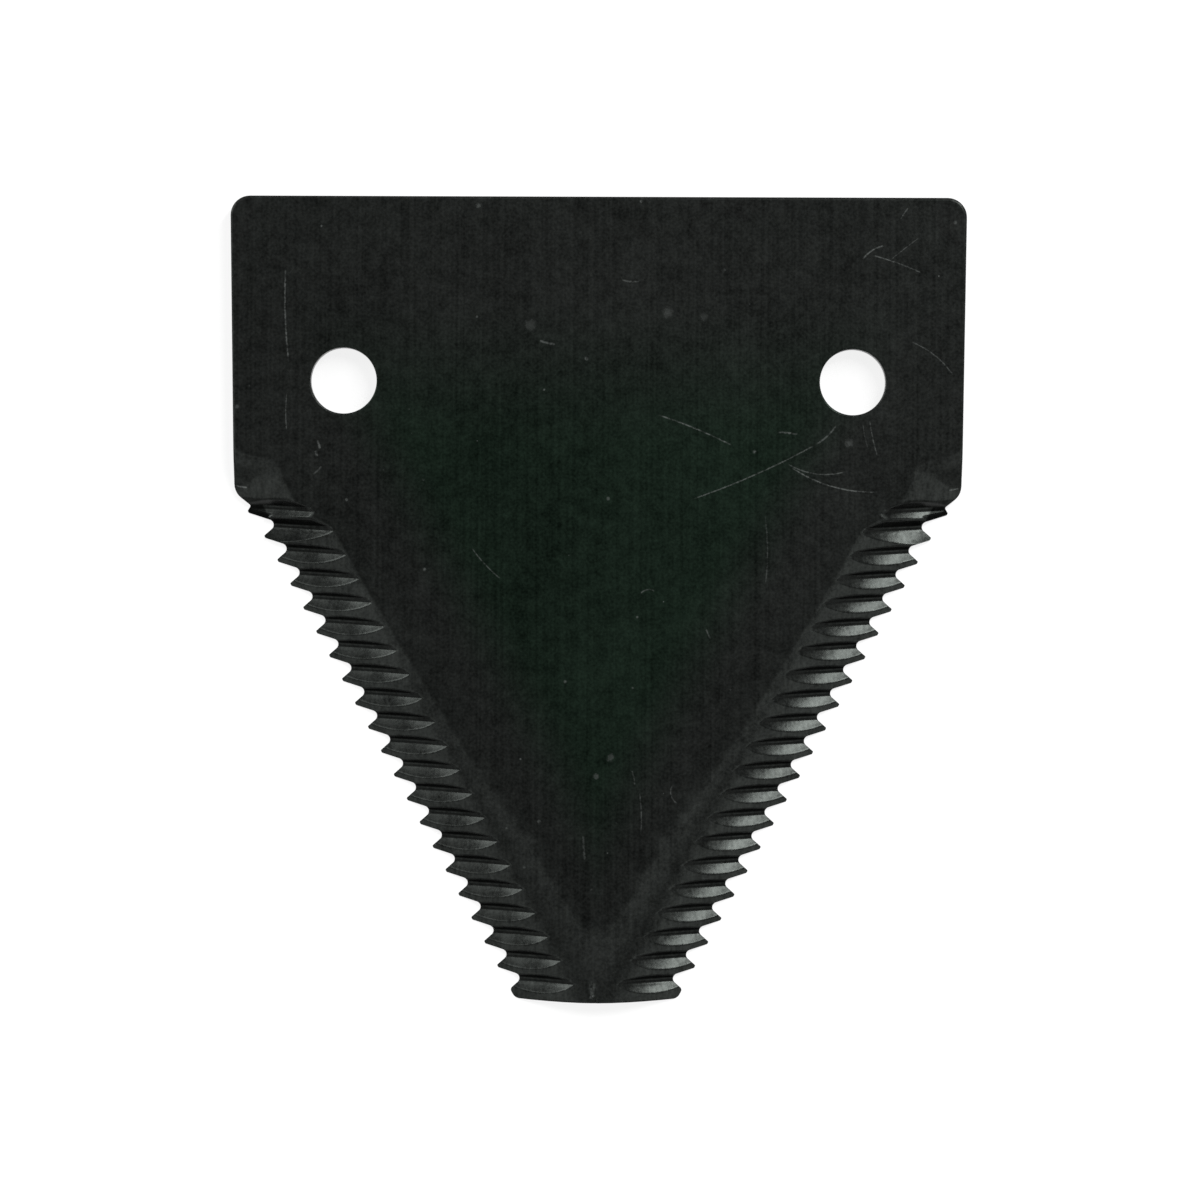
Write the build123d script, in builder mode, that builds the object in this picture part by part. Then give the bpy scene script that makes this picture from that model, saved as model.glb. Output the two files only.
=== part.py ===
from build123d import *
import math
import os

# A serrated sickle section: one flat blade of hardened strip steel, bevelled and toothed on both edges.
#
# Frame, in millimetres: the origin is midway between the two bolt holes, on the flat underside that seats
# on the knife back. +Y points to the back edge, the cutting tip is at -Y, and +Z is the bevelled face.
# The blade is made as its right-hand half, which is then mirrored.

# Blank: sections stand side by side at a 76.2 mm pitch, so each one is a little narrower
THICKNESS = 3.0
BACK_WIDTH = 76.0
SHOULDER_WIDTH = 75.1
BACK_EDGE_Y = 19.05
SHOULDER_Y = -11.55
TIP_Y = -64.15
TIP_CORNER_Y = -63.7
TIP_ARC_RADIUS = 75.0
BACK_CORNER_RADIUS = 2.0
SHOULDER_RADIUS = 1.8
TIP_CORNER_RADIUS = 0.9
DIE_ROLL = 0.25

# Bolt holes
HOLE_SPACING = 52.5
HOLE_DIAMETER = 6.8
HOLE_BREAK = 0.15

# Tooth points: they stand on a straight line at this angle from the centre line
EDGE_ANGLE = 28.67
TOOTH_COUNT = 21
TOOTH_STEP_Y = 2.461
FIRST_POINT = (35.76, -13.67)
FIRST_TOOTH = ((36.08, -13.67), (36.2, -13.45))
FIRST_GULLET = (35.85, -12.9)

# Gullets between the points, cut straight through the blank
GULLET_WALL_ANGLE = 17.6
GULLET_FLANK_ANGLE = 41.3
GULLET_RADIUS = 0.55
POINT_FLAT = 0.3
LAST_TOOTH_RADIUS = 0.4

# Bevel: a flat slope along each edge, ending in a cone where the wheel stops at the shoulder
POINT_THICKNESS = 0.1
BEVEL_WIDTH = 6.6
BEVEL_SOFTENING = 2.0
BEVEL_RUN = 70.0
WHEEL_STOP_Y = -15.2

# Corner facet: a steeper face along the corner and the first tooth, rising towards the shoulder
FACET_WIDTH = 1.05
FACET_ANGLE = 33.0
FACET_RISE = 21.8
FACET_LOW_Z = 0.575
FACET_LOW_OFFSET = 0.6
FACET_END_Y = -10.7
FACET_END_ANGLE = 14.0

# Grooves up the bevel, one from each gullet, milled by a round cutter with an unequal V rim and a ledge on
# its steep side
CUTTER_RADIUS = 16.0
GROOVE_TILT = 3.5
GROOVE_INSET = 2.26
GROOVE_DROP = 1.45
CUTTER_LOW_Z = -0.115
CUTTER_SETBACK = 3.15
LEDGE_START = 0.27
LEDGE_END = 0.36
LEDGE_HEIGHT = 0.2
WALL_ANGLE = 56.0
WALL_HEIGHT = 1.6
FLANK_ANGLE = 18.0
FLANK_WIDTH = 2.3
FIRST_GROOVE_LIFT = 0.45
FIRST_GROOVE_SHIFT = 0.55

# Cutting shapes reach this far past the steel
OVERSHOOT = 3.0


def sin(angle):
    return math.sin(math.radians(angle))


def cos(angle):
    return math.cos(math.radians(angle))


def tan(angle):
    return math.tan(math.radians(angle))


def horizontal(angle):
    """A unit vector in the plate's plane, at an angle in degrees from +X."""
    return Vector(cos(angle), sin(angle), 0)


def edge_x(y):
    """The distance from the centre line to the line through the tooth points, at y."""
    return FIRST_POINT[0] + (y - FIRST_POINT[1]) * tan(EDGE_ANGLE)


def tooth_point(index):
    """The place of a tooth point. Number 0 is at the shoulder, and would be the corner's own point."""
    y = FIRST_POINT[1] - (index - 1) * TOOTH_STEP_Y
    return Vector(edge_x(y), y, 0)


up = Vector(0, 0, 1)
edge_up = horizontal(90 - EDGE_ANGLE)
edge_down = horizontal(270 - EDGE_ANGLE)
edge_inward = horizontal(180 - EDGE_ANGLE)
groove_inward = horizontal(180 + GROOVE_TILT)
groove_across = horizontal(270 + GROOVE_TILT)
tooth_points = [tooth_point(index) for index in range(1, TOOTH_COUNT)]

# One gullet, seen from above, with its origin at the tooth point on its back side
wall_start_y = -POINT_FLAT / 3
flank_end = tooth_point(2) - tooth_point(1) + Vector(0, POINT_FLAT * 2 / 3)
corner_x = (flank_end.Y - wall_start_y + flank_end.X * tan(GULLET_FLANK_ANGLE)) / (
    tan(GULLET_WALL_ANGLE) + tan(GULLET_FLANK_ANGLE)
)
with BuildSketch() as gullet:
    with BuildLine():
        Polyline(
            (corner_x, wall_start_y + corner_x * tan(GULLET_WALL_ANGLE)),
            (OVERSHOOT, wall_start_y + OVERSHOOT * tan(GULLET_WALL_ANGLE)),
            (OVERSHOOT, flank_end.Y - (OVERSHOOT - flank_end.X) * tan(GULLET_FLANK_ANGLE)),
            close=True,
        )
    make_face()
    fillet(gullet.vertices().sort_by(Axis.X)[0], GULLET_RADIUS)

# Right half of the blank, with its bolt hole: the die has rolled the upper rim of its plain edges
first_edge_y = FIRST_POINT[1] - TOOTH_STEP_Y / 2
back_corner = (BACK_WIDTH / 2, BACK_EDGE_Y)
shoulder_corner = (SHOULDER_WIDTH / 2, SHOULDER_Y)
tip_corner = (edge_x(TIP_CORNER_Y), TIP_CORNER_Y)
with BuildSketch() as outline:
    with BuildLine():
        Polyline(
            (0, TIP_Y),
            (0, BACK_EDGE_Y),
            back_corner,
            shoulder_corner,
            FIRST_GULLET,
            FIRST_TOOTH[1],
            FIRST_TOOTH[0],
            (edge_x(first_edge_y), first_edge_y),
            tip_corner,
        )
        RadiusArc(tip_corner, (0, TIP_Y), TIP_ARC_RADIUS)
    make_face()
    for corner, radius in (
        (back_corner, BACK_CORNER_RADIUS),
        (shoulder_corner, SHOULDER_RADIUS),
        (tip_corner, TIP_CORNER_RADIUS),
    ):
        fillet(outline.vertices().sort_by_distance(corner)[0], radius)
    with Locations((HOLE_SPACING / 2, 0)):
        Circle(HOLE_DIAMETER / 2, mode=Mode.SUBTRACT)

with BuildSketch() as gullets:
    with Locations(*tooth_points):
        add(gullet.sketch)

# Bevel wheel: its profile swept along the edge, and turned about the place where it stops
stop_point = Vector(edge_x(WHEEL_STOP_Y), WHEEL_STOP_Y, 0)
across_edge = Plane(stop_point, x_dir=edge_inward, z_dir=edge_up)
bevel_angle = math.degrees(math.atan((THICKNESS - POINT_THICKNESS) / BEVEL_WIDTH))
crest_length = BEVEL_SOFTENING * tan(bevel_angle / 2)
wheel_top = THICKNESS + OVERSHOOT
with BuildSketch() as wheel_profile:
    with BuildLine():
        slope = Line(
            (-OVERSHOOT, POINT_THICKNESS - OVERSHOOT * tan(bevel_angle)),
            (BEVEL_WIDTH - crest_length * cos(bevel_angle), THICKNESS - crest_length * sin(bevel_angle)),
        )
        crest = TangentArc(slope @ 1, (BEVEL_WIDTH + crest_length, THICKNESS), tangent=slope % 1)
        Polyline(crest @ 1, (BEVEL_WIDTH + crest_length, wheel_top), (-OVERSHOOT, wheel_top), slope @ 0)
    make_face()

with BuildPart() as bevel_wheel:
    with BuildSketch(across_edge):
        add(wheel_profile.sketch)
    extrude(amount=-BEVEL_RUN)
    with BuildSketch(across_edge):
        add(wheel_profile.sketch)
        split(bisect_by=Plane.YZ)
    revolve(axis=Axis(stop_point, up))

# Groove cutter, turning about an axis that lies across the groove
groove_start = Vector(-GROOVE_INSET, -GROOVE_DROP, CUTTER_LOW_Z)
cutter_centre = groove_start + up * CUTTER_RADIUS - groove_inward * CUTTER_SETBACK
wall_edge = -LEDGE_END - (WALL_HEIGHT - LEDGE_HEIGHT) / tan(WALL_ANGLE)
with BuildPart() as groove_cutter:
    with BuildSketch(Plane(cutter_centre, x_dir=groove_across, z_dir=groove_across.cross(up))):
        with BuildLine():
            Polyline(
                (wall_edge, 0),
                (wall_edge, WALL_HEIGHT - CUTTER_RADIUS),
                (-LEDGE_END, LEDGE_HEIGHT - CUTTER_RADIUS),
                (-LEDGE_START, LEDGE_HEIGHT - CUTTER_RADIUS),
                (0, -CUTTER_RADIUS),
                (FLANK_WIDTH, FLANK_WIDTH * tan(FLANK_ANGLE) - CUTTER_RADIUS),
                (FLANK_WIDTH, 0),
                close=True,
            )
        make_face()
    revolve(axis=Axis(cutter_centre, groove_across))

# Corner facet: a wedge that rises along the edge, cut off where the facet ends below the shoulder
facet_start = stop_point + edge_inward * FACET_WIDTH + edge_up * FACET_LOW_OFFSET + up * FACET_LOW_Z
facet_run = edge_up * cos(FACET_RISE) + up * sin(FACET_RISE)
end_normal = (0, cos(FACET_END_ANGLE), -sin(FACET_END_ANGLE))
facet_end = Plane((0, FACET_END_Y, 0), x_dir=(1, 0, 0), z_dir=end_normal)
with BuildPart() as corner_facet:
    with BuildSketch(Plane(facet_start, x_dir=edge_inward, z_dir=facet_run)):
        with BuildLine():
            Polyline(
                (-OVERSHOOT, -OVERSHOOT * tan(FACET_ANGLE)),
                (OVERSHOOT, OVERSHOOT * tan(FACET_ANGLE)),
                (-OVERSHOOT, OVERSHOOT * tan(FACET_ANGLE)),
                close=True,
            )
        make_face()
    extrude(amount=BEVEL_WIDTH)
    split(bisect_by=facet_end, keep=Keep.BOTTOM)

with BuildPart() as blade:
    add(outline.sketch)
    extrude(amount=THICKNESS)
    top_edges = blade.faces().sort_by(Axis.Z)[-1].edges()
    hole_rim = top_edges.filter_by(lambda edge: edge.is_closed)
    plain_rim = (top_edges - hole_rim).filter_by(
        lambda edge: edge.center().Y > SHOULDER_Y - SHOULDER_RADIUS and edge.center().X > OVERSHOOT
    )
    fillet(plain_rim, DIE_ROLL)
    chamfer(hole_rim, HOLE_BREAK)
    add(gullets.sketch)
    extrude(amount=THICKNESS, mode=Mode.SUBTRACT)
    fillet(blade.edges().filter_by(Axis.Z).sort_by_distance(tooth_point(TOOTH_COUNT))[0], LAST_TOOTH_RADIUS)
    add(bevel_wheel.part, mode=Mode.SUBTRACT)
    add(corner_facet.part, mode=Mode.SUBTRACT)
    with Locations(*tooth_points, tooth_point(0) + Vector(0, -FIRST_GROOVE_SHIFT, FIRST_GROOVE_LIFT)):
        add(groove_cutter.part, mode=Mode.SUBTRACT)
    mirror(about=Plane.YZ)

blade.part.label = "sickle_section"
os.makedirs("parts", exist_ok=True)
export_step(blade.part, "parts/sickle_section.step")
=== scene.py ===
import math

import bpy
import numpy as np
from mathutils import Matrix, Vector, geometry, kdtree


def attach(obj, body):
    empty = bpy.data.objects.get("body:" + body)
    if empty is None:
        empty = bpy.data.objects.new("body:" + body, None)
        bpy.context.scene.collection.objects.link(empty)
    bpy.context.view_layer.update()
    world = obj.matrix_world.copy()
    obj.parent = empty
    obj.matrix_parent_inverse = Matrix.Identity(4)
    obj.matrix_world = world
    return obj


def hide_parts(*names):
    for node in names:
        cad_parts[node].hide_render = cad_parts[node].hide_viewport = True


# A serrated sickle section, lying on its flat underside on a white table and seen from straight above.
#
# The blade is first laid out flat, in millimetres, as the sheet of points its outline and its tooth lattice
# give. A Geometry Nodes tree then mills the bevels and the tooth grooves into its upper face by rule, and
# scales it to metres.

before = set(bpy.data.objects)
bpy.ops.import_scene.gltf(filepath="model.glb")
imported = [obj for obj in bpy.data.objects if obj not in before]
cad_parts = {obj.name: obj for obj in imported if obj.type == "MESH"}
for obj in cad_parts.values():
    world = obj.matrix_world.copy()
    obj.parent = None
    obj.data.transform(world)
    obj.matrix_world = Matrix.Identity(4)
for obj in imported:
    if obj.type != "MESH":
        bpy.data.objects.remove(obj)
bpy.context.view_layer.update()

# Blank, in millimetres
THICKNESS = 3.0
BACK_WIDTH = 76.0
SHOULDER_WIDTH = 75.1
BACK_EDGE_Y = 19.05
SHOULDER_Y = -11.55
TIP_Y = -64.15
TIP_CORNER_Y = -63.7
BACK_CORNER_RADIUS = 2.0
SHOULDER_RADIUS = 1.8
TIP_CORNER_RADIUS = 0.9
HOLE_SPACING = 52.5
HOLE_DIAMETER = 6.8

# Tooth points along a line at this angle from the centre line
EDGE_ANGLE = math.radians(28.67)
TOOTH_COUNT = 21
TOOTH_STEP_Y = 2.461
FIRST_POINT = (35.76, -13.67)
FIRST_TOOTH = ((36.08, -13.66), (36.2, -13.45))
FIRST_GULLET = (35.85, -12.9)
GULLET_WALL_SLOPE = math.tan(math.radians(17.6))
GULLET_FLANK_SLOPE = math.tan(math.radians(41.3))
GULLET_RADIUS = 0.55
POINT_FLAT = 0.3
POINT_RADIUS = 0.12
LAST_POINT_RADIUS = 0.4

# Bevel, with the place where the grinding wheel stops at each shoulder
POINT_THICKNESS = 0.1
BEVEL_WIDTH = 6.6
WHEEL_STOP_Y = -15.2

# Tooth grooves, each the track of a round cutter with an unequal V rim and a ledge on its steep side
CUTTER_RADIUS = 16.0
GROOVE_TILT = math.radians(3.5)
GROOVE_INSET = 2.26
GROOVE_DROP = 1.45
CUTTER_LOW_Z = -0.115
CUTTER_SETBACK = 3.15
LEDGE_START = 0.27
LEDGE_END = 0.36
LEDGE_HEIGHT = 0.2
WALL_SLOPE = math.tan(math.radians(56))
FLANK_START_SLOPE = math.tan(math.radians(16))
FLANK_CURVE = 0.05
FIRST_GROOVE_LIFT = 0.45
FIRST_GROOVE_SHIFT = 0.55

# Rounding of the upper rim: wide on the sheared edges, slight on the milled teeth
DIE_ROLL = 0.26
TOOTH_ROLL = 0.045
TIP_ROLL = 0.16
HOLE_ROLL = 0.16
BURR_BREAK = 0.04

SIN_EDGE, COS_EDGE, TAN_EDGE = math.sin(EDGE_ANGLE), math.cos(EDGE_ANGLE), math.tan(EDGE_ANGLE)
GROOVE_INWARD = Vector((-math.cos(GROOVE_TILT), -math.sin(GROOVE_TILT)))
GROOVE_ACROSS = Vector((math.sin(GROOVE_TILT), -math.cos(GROOVE_TILT)))


def edge_x(y):
    """The distance from the centre line to the line through the tooth points, at y."""
    return FIRST_POINT[0] + (y - FIRST_POINT[1]) * TAN_EDGE


def tooth_point(index):
    y = FIRST_POINT[1] - (index - 1) * TOOTH_STEP_Y
    return Vector((edge_x(y), y))


TOOTH_STEP = tooth_point(2) - tooth_point(1)


# Outline of the blade

def meeting(start, heading, other_start, other_heading):
    """Where a line through start along heading meets a second line."""
    gap = other_start - start
    along = (gap.x * other_heading.y - gap.y * other_heading.x) / (
        heading.x * other_heading.y - heading.y * other_heading.x
    )
    return start + heading * along


def rounded(corners, arc_step=math.radians(10)):
    """The line through (point, radius) corners, with an arc of points at each one that has a radius."""
    line = []
    for number, (corner, radius) in enumerate(corners):
        if not radius:
            line.append(corner)
            continue
        back = (corners[number - 1][0] - corner).normalized()
        ahead = (corners[number + 1][0] - corner).normalized()
        half = math.acos(max(-1, min(1, back.dot(ahead)))) / 2
        middle = corner + (back + ahead).normalized() * radius / math.sin(half)
        first = corner + back * radius / math.tan(half) - middle
        last = corner + ahead * radius / math.tan(half) - middle
        sweep = first.angle_signed(last)
        steps = max(2, round(abs(sweep) / arc_step))
        for step in range(steps + 1):
            turn = -sweep * step / steps
            line.append(middle + Vector((
                first.x * math.cos(turn) - first.y * math.sin(turn),
                first.x * math.sin(turn) + first.y * math.cos(turn),
            )))
    return line


def divided(line, spacing):
    """The same line with points added, so that none is farther from the next than spacing(point)."""
    result = []
    for start, end in zip(line, line[1:]):
        steps = max(1, math.ceil((end - start).length / spacing((start + end) / 2)))
        result += [start.lerp(end, step / steps) for step in range(steps)]
    return result + [line[-1]]


def half_outline():
    """The right-hand half of the outline, from the middle of the tip up to the middle of the back."""
    tip_corner = Vector((edge_x(TIP_CORNER_Y), TIP_CORNER_Y))
    corners = []
    for share in (0, 0.2, 0.4, 0.6, 0.8):
        corners.append((Vector((tip_corner.x * share, TIP_Y + (TIP_CORNER_Y - TIP_Y) * share ** 2)), 0))
    corners.append((tip_corner, TIP_CORNER_RADIUS))
    edge_line = Vector((SIN_EDGE, COS_EDGE))
    wall = Vector((1, GULLET_WALL_SLOPE))
    flank = Vector((1, -GULLET_FLANK_SLOPE))
    for index in range(TOOTH_COUNT - 1, 0, -1):
        wall_start = tooth_point(index) - Vector((0, POINT_FLAT / 3))
        flank_end = tooth_point(index + 1) + Vector((0, POINT_FLAT * 2 / 3))
        end_radius = LAST_POINT_RADIUS if index == TOOTH_COUNT - 1 else POINT_RADIUS
        corners.append((meeting(flank_end, flank, tooth_point(index + 1), edge_line), end_radius))
        corners.append((meeting(flank_end, flank, wall_start, wall), GULLET_RADIUS))
        if index > 1:
            corners.append((meeting(wall_start, wall, tooth_point(index), edge_line), POINT_RADIUS))
    corners += [
        (Vector(FIRST_TOOTH[0]), 0.1),
        (Vector(FIRST_TOOTH[1]), 0.1),
        (Vector(FIRST_GULLET), 0.2),
        (Vector((SHOULDER_WIDTH / 2, SHOULDER_Y)), SHOULDER_RADIUS),
        (Vector((BACK_WIDTH / 2, BACK_EDGE_Y)), BACK_CORNER_RADIUS),
        (Vector((0, BACK_EDGE_Y)), 0),
    ]
    return divided(rounded(corners), lambda at: 0.12 if at.y < SHOULDER_Y + 1 else 0.8)


def mirrored(point):
    return Vector((-point.x, point.y))


def outline_roll(point):
    """How far the rim is rounded: less from the shoulder on, where the bevel has taken the die roll away."""
    if point.y < TIP_CORNER_Y + 0.3 and abs(point.x) < 7.5:
        return TOOTH_ROLL + (TIP_ROLL - TOOTH_ROLL) * min(1, (7.5 - abs(point.x)) / 2)
    share = min(1, max(0, (point.y - SHOULDER_Y + 0.5) / 2.5))
    return TOOTH_ROLL + (DIE_ROLL - TOOTH_ROLL) * share


right_half = half_outline()
outline = right_half + [mirrored(point) for point in reversed(right_half[1:-1])]
hole_loops = []
for side in (-1, 1):
    turns = [-2 * math.pi * step / 72 for step in range(72)]
    hole_loops.append([
        Vector((side * HOLE_SPACING / 2 + math.cos(turn) * HOLE_DIAMETER / 2, math.sin(turn) * HOLE_DIAMETER / 2))
        for turn in turns
    ])


# The flat template: rims of nested loops, joined by an upper and a lower sheet

vertices = []
faces = []
grind = []
drop = []


def add_vertex(point, z, is_upper, dropped):
    vertices.append((point.x, point.y, z))
    grind.append(1.0 if is_upper else 0.0)
    drop.append(dropped)
    return len(vertices) - 1


def inward_steps(loop):
    """For each point of a loop, the step that moves it one millimetre into the steel."""
    steps = []
    for number, point in enumerate(loop):
        before = (point - loop[number - 1]).normalized()
        after = (loop[(number + 1) % len(loop)] - point).normalized()
        normal = Vector((-before.y - after.y, before.x + after.x)).normalized()
        steps.append(normal / max(0.6, normal.dot(Vector((-after.y, after.x)))))
    return steps


def add_rim(loop, rolls, guard):
    """Adds the wall round a loop with its rounded upper rim. Gives the innermost upper and lower loops."""
    steps = inward_steps(loop)
    profile = [(1, guard, 0), (1, 0, 0), (0.5, 0, 0.134), (0.134, 0, 0.5), (0, 0, 1)]
    rows = []
    for share, extra, fall in profile:
        rows.append([
            add_vertex(point + step * (roll * share + extra), THICKNESS, True, roll * fall)
            for point, step, roll in zip(loop, steps, rolls)
        ])
    rows.append([add_vertex(point, BURR_BREAK, False, 0) for point in loop])
    for inset in (BURR_BREAK, BURR_BREAK + guard):
        rows.append([add_vertex(point + step * inset, 0, False, 0) for point, step in zip(loop, steps)])
    for inner, outer in zip(rows, rows[1:]):
        for number in range(len(loop)):
            after = (number + 1) % len(loop)
            faces.append((inner[number], outer[number], outer[after], inner[after]))
    return rows[0], rows[-1]


def fill(outer, holes, extra_points, is_upper):
    """Joins an outer loop, hole loops and loose points by a sheet of triangles."""
    numbers = list(outer)
    edges = [(i, (i + 1) % len(outer)) for i in range(len(outer))]
    hole_of = {}
    for name, hole in enumerate(holes):
        start = len(numbers)
        edges += [(start + i, start + (i + 1) % len(hole)) for i in range(len(hole))]
        for i in range(len(hole)):
            hole_of[start + i] = name
        numbers += hole
    z = THICKNESS if is_upper else 0
    numbers += [add_vertex(point, z, is_upper, 0) for point in extra_points]
    flat = [Vector(vertices[number][:2]) for number in numbers]
    outer_face = [list(range(len(outer)))]
    points, _, triangles, sources, _, _ = geometry.delaunay_2d_cdt(flat, edges, outer_face, 1, 1e-7)
    for triangle in triangles:
        owners = {hole_of.get(sources[corner][0]) for corner in triangle}
        if len(owners) == 1 and owners != {None}:
            continue
        corners = [numbers[sources[corner][0]] for corner in triangle]
        faces.append(tuple(corners if is_upper else reversed(corners)))


outline_guard = 0.04
outline_upper, outline_lower = add_rim(outline, [outline_roll(point) for point in outline], outline_guard)
hole_rims = [add_rim(loop, [HOLE_ROLL] * len(loop), outline_guard) for loop in hole_loops]

rim_tree = kdtree.KDTree(len(outline) + sum(len(loop) for loop in hole_loops))
rim_points = outline + [point for loop in hole_loops for point in loop]
rim_steps = inward_steps(outline) + [step for loop in hole_loops for step in inward_steps(loop)]
rim_rolls = [outline_roll(point) for point in outline] + [HOLE_ROLL] * sum(len(loop) for loop in hole_loops)
for number, point in enumerate(rim_points):
    rim_tree.insert(point.to_3d(), number)
rim_tree.balance()


def is_clear(point, margin):
    """Whether a point lies inside the steel, clear of the rims."""
    _, number, _ = rim_tree.find(point.to_3d())
    depth = (point - rim_points[number]).dot(rim_steps[number])
    return depth > rim_rolls[number] + outline_guard + margin


def edge_depth(point):
    """The distance inward from the line through the tooth points."""
    return (edge_x(point.y) - abs(point.x)) * COS_EDGE


def lattice_points():
    """Points along and across every groove on the right-hand side, close together where the profile bends."""
    across_spots = [-1.0, -0.92, -0.84, -0.76, -0.68, -0.6, -0.52, -0.44, -LEDGE_END, -LEDGE_START]
    across_spots += [-0.2, -0.13, -0.06, 0, 0.05, 0.11] + list(np.arange(0.19, 1.3, 0.11))
    along_spots = np.arange(-2.3, 7.9, 0.2)
    points = []
    for index in range(TOOTH_COUNT + 2):
        origin = tooth_point(index) - Vector((GROOVE_INSET, GROOVE_DROP))
        if index == 0:
            origin = origin - Vector((0, FIRST_GROOVE_SHIFT))
        for across in across_spots:
            if index == 0 and across > across_spots[-1] - FIRST_GROOVE_SHIFT:
                continue
            for along in along_spots:
                points.append(origin + GROOVE_INWARD * along + GROOVE_ACROSS * across)
    return points


def grid_points(low, high, step, keep):
    spots = []
    for x in np.arange(low[0], high[0], step):
        for y in np.arange(low[1], high[1], step):
            point = Vector((x, y))
            if keep(point):
                spots.append(point)
    return spots


first_wall = tooth_point(0) - Vector((GROOVE_INSET, GROOVE_DROP + FIRST_GROOVE_SHIFT)) - GROOVE_ACROSS
right_points = [point for point in lattice_points() if point.x > 0.02 and is_clear(point, 0.03)]
right_points += grid_points(
    (26.0, -15.0), (37.5, -3.5), 0.3,
    lambda point: (point - first_wall).dot(GROOVE_ACROSS) < -0.1 and edge_depth(point) < 9 and is_clear(point, 0.05),
)
right_points += grid_points(
    (1.1, -62.0), (37.4, 18.5), 2.2,
    lambda point: (edge_depth(point) > 9.5 or point.y > -3.6) and is_clear(point, 0.3),
)
upper_points = right_points + [mirrored(point) for point in right_points]
lower_points = grid_points((-37.4, -63.5), (37.4, 18.5), 3.0, lambda point: is_clear(point, 0.4))

fill(outline_upper, [rim[0] for rim in hole_rims], upper_points, True)
fill(outline_lower, [rim[1] for rim in hole_rims], lower_points, False)

template = bpy.data.meshes.new("blade_template")
template.from_pydata(vertices, [], faces)
for name, values in (("grind", grind), ("drop", drop)):
    template.attributes.new(name, "FLOAT", "POINT").data.foreach_set("value", values)
blank = bpy.data.objects.new("blade_blank", template)
bpy.context.collection.objects.link(blank)


# Node trees written as expressions

class Wire:
    """An output socket. Arithmetic on it adds Math nodes to its tree."""

    def __init__(self, tree, socket):
        self.tree = tree
        self.socket = socket

    def math(self, operation, *values):
        return self.tree.node("ShaderNodeMath", {"operation": operation}, dict(enumerate(values)))

    def __add__(self, other):
        return self.math("ADD", self, other)

    def __radd__(self, other):
        return self.math("ADD", other, self)

    def __sub__(self, other):
        return self.math("SUBTRACT", self, other)

    def __rsub__(self, other):
        return self.math("SUBTRACT", other, self)

    def __mul__(self, other):
        return self.math("MULTIPLY", self, other)

    def __rmul__(self, other):
        return self.math("MULTIPLY", other, self)

    def __truediv__(self, other):
        return self.math("DIVIDE", self, other)

    def __rtruediv__(self, other):
        return self.math("DIVIDE", other, self)

    def __pow__(self, other):
        return self.math("POWER", self, other)

    def __neg__(self):
        return self.math("MULTIPLY", self, -1)

    def __abs__(self):
        return self.math("ABSOLUTE", self)

    def root(self):
        return self.math("SQRT", self)

    def whole(self):
        return self.math("FLOOR", self)

    def least(self, other):
        return self.math("MINIMUM", self, other)

    def most(self, other):
        return self.math("MAXIMUM", self, other)

    def soft_least(self, other, distance):
        return self.math("SMOOTH_MIN", self, other, distance)

    def soft_most(self, other, distance):
        return self.math("SMOOTH_MAX", self, other, distance)

    def held(self, low, high):
        return self.most(low).least(high)

    def rise(self, low, high):
        """0 below low, 1 above high, and a smooth step between. Low may be the larger."""
        return self.tree.node(
            "ShaderNodeMapRange", {"interpolation_type": "SMOOTHSTEP"}, {0: self, 1: low, 2: high, 3: 0.0, 4: 1.0}
        )


class Tree:
    """Adds nodes to a node tree."""

    def __init__(self, node_tree):
        self.nodes = node_tree.nodes
        self.links = node_tree.links

    def node(self, kind, settings=None, inputs=None, output=0):
        """A new node's output socket. Settings come first, then the values or links of its sockets."""
        new = self.nodes.new(kind)
        for name, value in (settings or {}).items():
            if name == "stops":
                self.set_stops(new.color_ramp, value)
            else:
                setattr(new, name, value)
        for name, value in (inputs or {}).items():
            if isinstance(value, Wire):
                self.links.new(value.socket, new.inputs[name])
            elif value is not None:
                new.inputs[name].default_value = value
        return Wire(self, new.outputs[output]) if new.outputs else new

    def set_stops(self, ramp, stops):
        while len(ramp.elements) < len(stops):
            ramp.elements.new(1)
        for element, (position, level) in zip(ramp.elements, stops):
            element.position = position
            element.color = (level, level, level, 1)

    def attribute(self, name):
        return self.node("GeometryNodeInputNamedAttribute", {"data_type": "FLOAT"}, {"Name": name}, "Attribute")

    def split(self, vector):
        separate = self.nodes.new("ShaderNodeSeparateXYZ")
        self.links.new(vector.socket, separate.inputs[0])
        return [Wire(self, output) for output in separate.outputs]


# Milling: the upper face's height follows from where a point lies on the blade

MILL_SIZES = {
    "Thickness": THICKNESS,
    "Point Thickness": POINT_THICKNESS,
    "Bevel Width": BEVEL_WIDTH,
    "Wheel Stop Y": WHEEL_STOP_Y,
    "Tooth Step Y": TOOTH_STEP_Y,
    "Cutter Radius": CUTTER_RADIUS,
    "Cutter Low Z": CUTTER_LOW_Z,
    "First Groove Lift": FIRST_GROOVE_LIFT,
    "Corner Facet Width": 1.05,
    "Crease Softness": 0.07,
    "Flank Start Slope": FLANK_START_SLOPE,
    "Flank Curve": FLANK_CURVE,
    "Bevel Softness": 0.25,
    "Tip Softness": 1.9,
}


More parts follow.
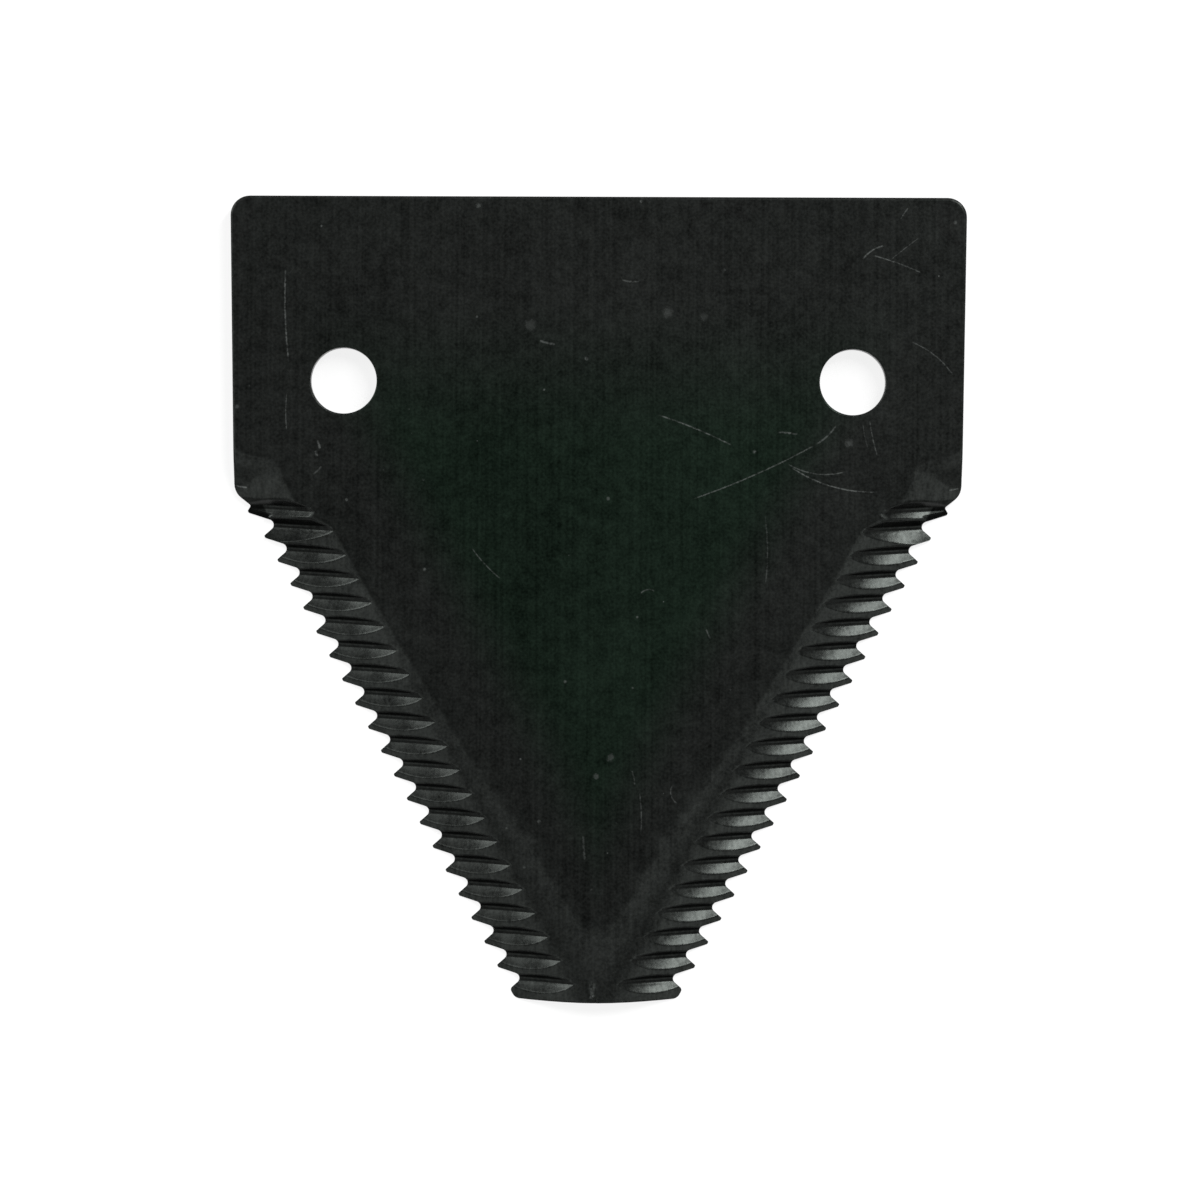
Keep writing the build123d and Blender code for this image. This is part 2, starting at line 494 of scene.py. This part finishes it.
def milled_height(size, x, y):
    """The height of the upper face at (x, y), in millimetres."""
    side = abs(x)
    point_x, point_y = FIRST_POINT
    depth = (point_x + (y - point_y) * TAN_EDGE - side) * COS_EDGE
    stop_x = point_x + (size["Wheel Stop Y"] - point_y) * TAN_EDGE
    past_stop = (side - stop_x) * SIN_EDGE + (y - size["Wheel Stop Y"]) * COS_EDGE
    slope = (size["Thickness"] - size["Point Thickness"]) / size["Bevel Width"]
    run_out = 0.95 * past_stop.rise(-4.2, 0.4) + 1.7 * past_stop.rise(4.0, 9.0)
    bevel = size["Point Thickness"] + depth * slope + run_out
    softness = size["Bevel Softness"] + (size["Tip Softness"] - size["Bevel Softness"]) * y.rise(-16.0, -62.0)
    softness = softness + 0.6 * past_stop.rise(3.0, 6.0)
    upper = bevel.soft_least(size["Thickness"], softness)

    facet_width = size["Corner Facet Width"]
    facet = 0.335 + past_stop * 0.4 + (depth - facet_width) * 0.7
    facet = facet + (y + 10.7).most(0) * 4.0 + (0.6 - past_stop).most(0) * 4.0
    upper = upper.soft_least(facet.most(0.1), size["Crease Softness"])

    first_x = point_x - GROOVE_INSET
    first_y = point_y - GROOVE_DROP
    across = (side - first_x) * GROOVE_ACROSS.x + (y - first_y) * GROOVE_ACROSS.y
    along = (side - first_x) * GROOVE_INWARD.x + (y - first_y) * GROOVE_INWARD.y
    step_y = size["Tooth Step Y"]
    pitch_across = step_y * -(TAN_EDGE * GROOVE_ACROSS.x + GROOVE_ACROSS.y)
    pitch_along = step_y * -(TAN_EDGE * GROOVE_INWARD.x + GROOVE_INWARD.y)

    def groove(number, shift=0.0, lift=0.0):
        spot = across - number * pitch_across - shift
        reach = along - number * pitch_along + CUTTER_SETBACK
        flank = spot.most(0)
        wall = (0 - spot).most(0)
        height = flank * size["Flank Start Slope"] + flank * flank * size["Flank Curve"]
        height = height + wall.least(LEDGE_START) * (LEDGE_HEIGHT / LEDGE_START)
        height = height + (wall - LEDGE_END).most(0) * WALL_SLOPE
        cutter = size["Cutter Radius"]
        rim = (cutter - height).most(0)
        return size["Cutter Low Z"] + cutter + lift - (rim * rim - reach * reach).most(0).root()

    base = ((across - 0.3) / pitch_across).whole()
    last = TOOTH_COUNT - 2.0
    crease = size["Crease Softness"]
    before_grooves = upper
    for number in (base.held(0, last), (base + 1).held(0, last)):
        upper = upper.soft_least(groove(number), crease)
    upper = upper.soft_least(groove(-1.0, FIRST_GROOVE_SHIFT, size["First Groove Lift"]), crease)
    nick = (0.30 - abs(x + 0.4 + (y + 62.5) * 0.15)) * 1.2 * y.rise(-61.6, -62.6)
    upper = upper - nick.most(0) * 0.8
    return upper.most(0.09), before_grooves


def milling_tree():
    group = bpy.data.node_groups.new("blade_milling", "GeometryNodeTree")
    group.interface.new_socket("Geometry", in_out="INPUT", socket_type="NodeSocketGeometry")
    for name in MILL_SIZES:
        group.interface.new_socket(name, in_out="INPUT", socket_type="NodeSocketFloat")
    group.interface.new_socket("Finish", in_out="INPUT", socket_type="NodeSocketMaterial")
    group.interface.new_socket("Geometry", in_out="OUTPUT", socket_type="NodeSocketGeometry")
    tree = Tree(group)
    entry = group.nodes.new("NodeGroupInput")
    size = {name: Wire(tree, entry.outputs[name]) for name in MILL_SIZES}
    x, y, z = tree.split(tree.node("GeometryNodeInputPosition"))
    is_upper = tree.attribute("grind")
    milled, before_grooves = milled_height(size, x, y)
    height = is_upper * (milled - tree.attribute("drop")) + (1 - is_upper) * z
    ground = (size["Thickness"] - before_grooves).rise(0.02, 0.3)
    groove = (before_grooves - milled).rise(0.0, 0.06)
    place = tree.node("ShaderNodeCombineXYZ", None, {0: x, 1: y, 2: height})
    shaped = tree.node("GeometryNodeSetPosition", None, {"Geometry": Wire(tree, entry.outputs["Geometry"]), "Position": place})
    for name, value in (("ground", ground), ("groove", groove)):
        shaped = tree.node(
            "GeometryNodeStoreNamedAttribute", {"data_type": "FLOAT", "domain": "POINT"},
            {"Geometry": shaped, "Name": name, "Value": value * is_upper},
        )
    metres = tree.node("GeometryNodeTransform", None, {"Geometry": shaped, "Scale": (0.001, 0.001, 0.001)})
    smooth = tree.node("GeometryNodeSetShadeSmooth", None, {"Geometry": metres})
    plain = tree.node("GeometryNodeRealizeInstances", None, {"Geometry": smooth})
    finished = tree.node(
        "GeometryNodeSetMaterial", None, {"Geometry": plain, "Material": Wire(tree, entry.outputs["Finish"])}
    )
    exit_node = group.nodes.new("NodeGroupOutput")
    group.links.new(finished.socket, exit_node.inputs["Geometry"])
    return group


# Finish

def new_material(name):
    material = bpy.data.materials.new(name)
    material.use_nodes = True
    material.node_tree.nodes.clear()
    return material, Tree(material.node_tree)


# Marks on the flat face, and painted highlights along the tops of the shoulder facets: each a stroke through three
# points in millimetres, its width and its strength
SCRATCHES_AND_HIGHLIGHTS = (
    ((6.1, -3.4), (10.2, -4.9), (13.9, -6.6), 0.10, 0.9),
    ((9.5, -12.2), (16.8, -9.3), (22.7, -6.3), 0.09, 0.8),
    ((19.5, -8.4), (22.4, -9.45), (25.6, -9.2), 0.09, 0.7),
    ((19.8, -8.7), (24.3, -10.8), (29.0, -11.3), 0.10, 0.9),
    ((22.5, -6.4), (23.7, -5.5), (24.6, -4.4), 0.12, 0.6),
    ((18.5, -5.2), (19.5, -5.25), (20.6, -5.4), 0.13, 0.9),
    ((28.0, -3.9), (28.3, -5.7), (28.8, -7.6), 0.09, 0.6),
    ((27.3, -4.3), (27.5, -5.6), (27.9, -7.0), 0.07, 0.5),
    ((27.2, 12.6), (28.2, 13.6), (29.5, 14.1), 0.11, 0.8),
    ((28.2, 13.1), (30.8, 12.3), (33.3, 11.3), 0.09, 0.7),
    ((33.0, 14.9), (31.6, 13.8), (30.1, 12.6), 0.07, 0.5),
    ((31.9, 18.0), (31.5, 17.4), (31.1, 16.8), 0.09, 0.5),
    ((32.2, 4.2), (34.8, 2.7), (36.7, 0.6), 0.08, 0.6),
    ((-32.25, 11.8), (-32.3, 7.0), (-31.9, 1.8), 0.12, 0.8),
    ((-32.1, -1.3), (-32.2, -3.2), (-32.1, -5.2), 0.08, 0.6),
    ((-28.9, -6.15), (-28.77, -6.6), (-28.65, -7.05), 0.16, 0.8),
    ((-29.15, -7.2), (-29.03, -7.5), (-28.95, -7.85), 0.20, 0.8),
    ((-28.5, -8.8), (-28.9, -9.3), (-29.4, -9.7), 0.12, 0.4),
    ((-6.1, 4.2), (-5.3, 3.95), (-4.4, 3.8), 0.16, 0.6),
    ((2.4, 10.5), (3.3, 10.3), (4.2, 10.3), 0.13, 0.6),
    ((-13.0, -17.2), (-11.6, -18.9), (-10.0, -20.4), 0.09, 0.6),
    ((4.4, -21.9), (5.0, -21.5), (5.9, -21.6), 0.10, 0.6),
    ((17.2, -13.6), (17.5, -17.0), (17.3, -20.9), 0.10, 0.35),
    ((11.2, -25.5), (11.4, -26.0), (11.7, -26.6), 0.12, 0.6),
    ((3.6, -40.1), (3.8, -40.8), (3.9, -41.6), 0.10, 0.5),
    ((7.8, -41.6), (7.7, -42.8), (8.3, -43.5), 0.10, 0.6),
    ((4.4, -42.4), (4.6, -44.6), (4.5, -46.8), 0.10, 0.5),
    ((-1.4, -46.8), (-1.3, -48.1), (-1.2, -49.4), 0.16, 0.35),
    ((-0.2, -62.0), (-0.35, -62.8), (-0.5, -63.8), 0.28, 0.9),
    # These two are painted highlights: a lighter line along the top edge of each shoulder facet.
    ((37.4, -10.85), (36.8, -11.0), (36.2, -11.1), 0.11, 0.8),
    ((-37.4, -10.85), (-36.8, -10.95), (-36.2, -11.05), 0.12, 0.9),
)

# Small dings: centre in millimetres, radius and strength
DINGS = (
    ((-7.0, 5.8), 0.65, 0.5),
    ((7.1, 7.1), 0.75, 0.45),
    ((10.9, 6.7), 0.45, 0.4),
    ((25.9, -6.3), 0.5, 0.6),
    ((1.45, -38.8), 0.42, 0.9),
    ((0.0, -40.7), 0.34, 1.0),
    ((-9.3, -46.1), 0.22, 0.9),
    ((-7.5, -50.1), 0.24, 0.9),
    ((-25.9, -12.3), 0.2, 1.0),
    ((-12.4, 18.1), 0.35, 0.8),
    ((-37.2, -2.7), 0.3, 0.8),
)


def noise(tree, place, size, detail=3.0, stretch=(1, 1, 1)):
    """Noise from 0 to 1 whose features are about size millimetres across, times stretch along each axis."""
    scale = tuple(1 / (size * share) for share in stretch)
    mapping = tree.node("ShaderNodeMapping", None, {"Vector": place, "Scale": scale})
    return tree.node("ShaderNodeTexNoise", None, {"Vector": mapping, "Scale": 1.0, "Detail": detail}, "Fac")


def distance_to(tree, place, point):
    """The distance from a flat place to a point, both in millimetres."""
    return tree.node("ShaderNodeVectorMath", {"operation": "DISTANCE"}, {0: place, 1: (point[0], point[1], 0)}, "Value")


def stroke(tree, place, start, middle, end, width, strength):
    """A thin mark along the arc through three points."""
    start, middle, end = Vector(start), Vector(middle), Vector(end)
    normal_1 = Vector((middle.y - start.y, start.x - middle.x))
    normal_2 = Vector((end.y - middle.y, middle.x - end.x))
    if abs(normal_1.normalized().cross(normal_2.normalized())) < 0.02:
        middle = middle + normal_1.normalized() * 0.03
        normal_1 = Vector((middle.y - start.y, start.x - middle.x))
        normal_2 = Vector((end.y - middle.y, middle.x - end.x))
    centre = meeting((start + middle) / 2, normal_1, (middle + end) / 2, normal_2)
    off_line = abs(distance_to(tree, place, centre) - (start - centre).length)
    along = distance_to(tree, place, (start + end) / 2)
    half = (end - start).length / 2
    return off_line.rise(width, width * 0.25) * along.rise(half, half * 0.8) * strength


def hardened_steel():
    """Dark heat-treated scale on strip steel, with the finer surface of the ground and milled edges, painted highlights
    on the rolled rim and on the tops of the shoulder facets, and painted shade at the outer end of the first tooth.
    """
    material, tree = new_material("hardened_steel")
    coordinates = tree.node("ShaderNodeTexCoord", None, None, "Object")
    place = tree.node("ShaderNodeVectorMath", {"operation": "SCALE"}, {0: coordinates, "Scale": 1000.0})
    x, y, z = tree.split(place)
    flat_place = tree.node("ShaderNodeCombineXYZ", None, {0: x, 1: y, 2: 0.0})
    depth = (FIRST_POINT[0] + (y - FIRST_POINT[1]) * TAN_EDGE - abs(x)) * COS_EDGE
    ground = tree.node("ShaderNodeAttribute", {"attribute_name": "ground"}, None, "Fac")
    groove = tree.node("ShaderNodeAttribute", {"attribute_name": "groove"}, None, "Fac")
    flat_face = z.rise(2.9, 2.99)
    # The rolled rim, below the flat face and off the ground bevels, which gets edge wear and a painted highlight.
    rim = z.rise(2.60, 2.80) * z.rise(2.995, 2.96) * (1 - ground)

    cloud = noise(tree, place, 9.0, 3.0)
    mottle = noise(tree, place, 1.3, 4.0)
    grain = noise(tree, place, 0.28, 2.0)
    rolling = noise(tree, place, 0.32, 2.0, (1, 120, 1))
    fine = noise(tree, place, 0.12, 2.0)
    cells = tree.nodes.new("ShaderNodeTexVoronoi")
    cells.inputs["Scale"].default_value = 0.42
    tree.links.new(place.socket, cells.inputs["Vector"])
    cell_distance = Wire(tree, cells.outputs["Distance"])
    cell_chance = tree.split(Wire(tree, cells.outputs["Color"]))
    speck_size = 0.02 + 0.10 * cell_chance[1] * cell_chance[1]
    speck = (cell_distance / speck_size).rise(1.0, 0.4) * cell_chance[0].rise(0.35, 0.5) * flat_face

    marks = speck * 0.7
    for start, middle, end, width, strength in SCRATCHES_AND_HIGHLIGHTS:
        marks = marks.most(stroke(tree, flat_place, start, middle, end, width, strength))
    ragged = 0.15 + 0.85 * (0.6 * grain + 0.4 * mottle).rise(0.38, 0.6)
    marks = marks * ragged * flat_face.most(ground)
    dings = 0
    for centre, radius, strength in DINGS:
        ragged_distance = distance_to(tree, flat_place, centre) + (mottle + grain - 1) * 1.6 * radius
        ding = ragged_distance.rise(radius, radius * 0.3) * strength
        dings = ding if dings == 0 else dings.most(ding)
    dings = dings * z.rise(2.0, 2.2)

    centre_band = depth.rise(11.0, 19.0) * y.rise(10.0, -8.0)
    brightness = 1 + 0.7 * (cloud - 0.5) + 0.9 * (mottle - 0.5) + 1.3 * (grain - 0.5) + 0.8 * (rolling - 0.5)
    # Ground steel is lighter than the scale. The rolled rim is painted 80% lighter, partly as edge wear and partly as a
    # painted highlight along its rounded edge.
    brightness = brightness * (1 + 0.45 * ground + 0.8 * rim)
    # Painted shade: the outer end of the first tooth on each side is painted 75% darker.
    first_tooth_painted_shade = depth.rise(1.5, 1.3) * y.rise(-12.7, -12.9) * y.rise(-14.6, -14.4)
    brightness = brightness * (1 - 0.75 * first_tooth_painted_shade)
    scale_colour = tree.node(
        "ShaderNodeMix", {"data_type": "RGBA"},
        {0: centre_band, 6: (0.0074, 0.0081, 0.0076, 1), 7: (0.0044, 0.0078, 0.0054, 1)}, 2,
    )
    shaded = tree.node("ShaderNodeVectorMath", {"operation": "SCALE"}, {0: scale_colour, "Scale": brightness.most(0.3)})
    # Scratches, dings and specks are lighter worn steel; the two strokes along the shoulder facets' tops are painted
    # highlights.
    worn_and_highlit = tree.node(
        "ShaderNodeMix", {"data_type": "RGBA"},
        {0: (marks * 0.55 + dings * mottle * 0.6).held(0, 1), 6: shaded, 7: (0.09, 0.097, 0.093, 1)}, 2,
    )
    roughness = 0.37 + 0.10 * (mottle - 0.5) + 0.12 * (grain - 0.5) - 0.11 * ground.most(groove)
    relief = 0.5 * mottle + 0.8 * grain * (1 - 0.6 * ground) + 0.8 * rolling * flat_face + 0.4 * fine
    relief = relief - 3.0 * dings
    bump = tree.node("ShaderNodeBump", None, {"Strength": 0.10, "Distance": 0.00004, "Height": relief})
    surface = tree.node(
        "ShaderNodeBsdfPrincipled", None,
        {"Base Color": worn_and_highlit, "Metallic": 1.0, "Roughness": roughness, "Normal": bump},
    )
    tree.node("ShaderNodeOutputMaterial", None, {"Surface": surface})
    return material


steel = hardened_steel()
mill = milling_tree()
modifier = blank.modifiers.new("milling", "NODES")
modifier.node_group = mill
for item in mill.interface.items_tree:
    if item.in_out == "INPUT" and item.name in MILL_SIZES:
        modifier[item.identifier] = MILL_SIZES[item.name]
    if item.in_out == "INPUT" and item.name == "Finish":
        modifier[item.identifier] = steel

bpy.context.view_layer.update()
evaluated = blank.evaluated_get(bpy.context.evaluated_depsgraph_get())
blade_mesh = bpy.data.meshes.new_from_object(evaluated)
blade_mesh.name = "sickle_blade"
blade = bpy.data.objects.new("sickle_blade", blade_mesh)
bpy.context.collection.objects.link(blade)
bpy.data.objects.remove(blank)
bpy.data.node_groups.remove(mill)

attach(blade, "root")
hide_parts("sickle_section")


# Table, light and camera, in metres

def white_table():
    """A matt white table. To the camera it is nearly plain white, and it keeps the blade's shadow."""
    material, tree = new_material("white_table")
    path = tree.nodes.new("ShaderNodeLightPath")
    seen = Wire(tree, path.outputs["Is Camera Ray"]).most(Wire(tree, path.outputs["Is Glossy Ray"]))
    matt = tree.node("ShaderNodeBsdfDiffuse", None, {"Color": (0.9, 0.9, 0.9, 1)})
    plain = tree.node("ShaderNodeEmission", None, {"Color": (1, 1, 1, 1), "Strength": 1.0})
    mixed = tree.node("ShaderNodeMixShader", None, {0: seen * 0.82, 1: matt, 2: plain})
    tree.node("ShaderNodeOutputMaterial", None, {"Surface": mixed})
    return material


table_mesh = bpy.data.meshes.new("white_table")
table_mesh.from_pydata([(-3, -3, 0), (3, -3, 0), (3, 3, 0), (-3, 3, 0)], [], [(0, 1, 2, 3)])
table_mesh.materials.append(white_table())
table = bpy.data.objects.new("white_table", table_mesh)
bpy.context.collection.objects.link(table)

world = bpy.data.worlds.new("light_tent")
bpy.context.scene.world = world
world.use_nodes = True
world.node_tree.nodes.clear()
tent = Tree(world.node_tree)
path = tent.nodes.new("ShaderNodeLightPath")
mirrored_tent = Wire(tent, path.outputs["Is Camera Ray"]).most(Wire(tent, path.outputs["Is Glossy Ray"]))
mirrored_tent = mirrored_tent.most(Wire(tent, path.outputs["Is Transmission Ray"]))
strength = mirrored_tent * 1.0 + (1 - mirrored_tent) * 0.2
background = tent.node("ShaderNodeBackground", None, {"Color": (1, 1, 1, 1), "Strength": strength})
tent.node("ShaderNodeOutputWorld", None, {"Surface": background})


def softbox(name, azimuth, zenith, width, height, radiance, distance=1.2):
    """A rectangular lamp that faces the blade. Azimuth runs from +X to +Y and zenith from straight up, in degrees."""
    lamp = bpy.data.lights.new(name, "AREA")
    lamp.shape = "RECTANGLE"
    lamp.size = width
    lamp.size_y = height
    lamp.energy = radiance * math.pi * width * height
    holder = bpy.data.objects.new(name, lamp)
    heading = Vector((
        math.sin(math.radians(zenith)) * math.cos(math.radians(azimuth)),
        math.sin(math.radians(zenith)) * math.sin(math.radians(azimuth)),
        math.cos(math.radians(zenith)),
    ))
    holder.location = Vector((0, -0.02, 0)) + heading * distance
    holder.rotation_euler = heading.to_track_quat("Z", "Y").to_euler()
    holder.visible_camera = False
    bpy.context.collection.objects.link(holder)


softbox("right_strip", 50, 44, 0.20, 1.0, 38.0)
softbox("left_low_box", 157, 66, 0.45, 0.35, 14.0)
softbox("left_high_box", 140, 40, 0.40, 0.40, 6.0)
softbox("right_side_box", -30, 50, 0.70, 0.55, 2.0)
softbox("left_side_box", 210, 50, 0.70, 0.55, 1.6)
softbox("tip_side_box", 270, 47, 0.80, 0.50, 1.3)

camera_data = bpy.data.cameras.new("overhead_camera")
camera_data.sensor_width = 36.0
camera_data.lens = 36.0 * 0.9 / 0.1237
camera_data.clip_start = 0.01
camera = bpy.data.objects.new("overhead_camera", camera_data)
camera.location = (0.00026, -0.02254, 0.903)
camera.rotation_euler = (0, 0, math.radians(0.2))
bpy.context.collection.objects.link(camera)
bpy.context.scene.camera = camera
bpy.context.scene.view_settings.view_transform = "Standard"
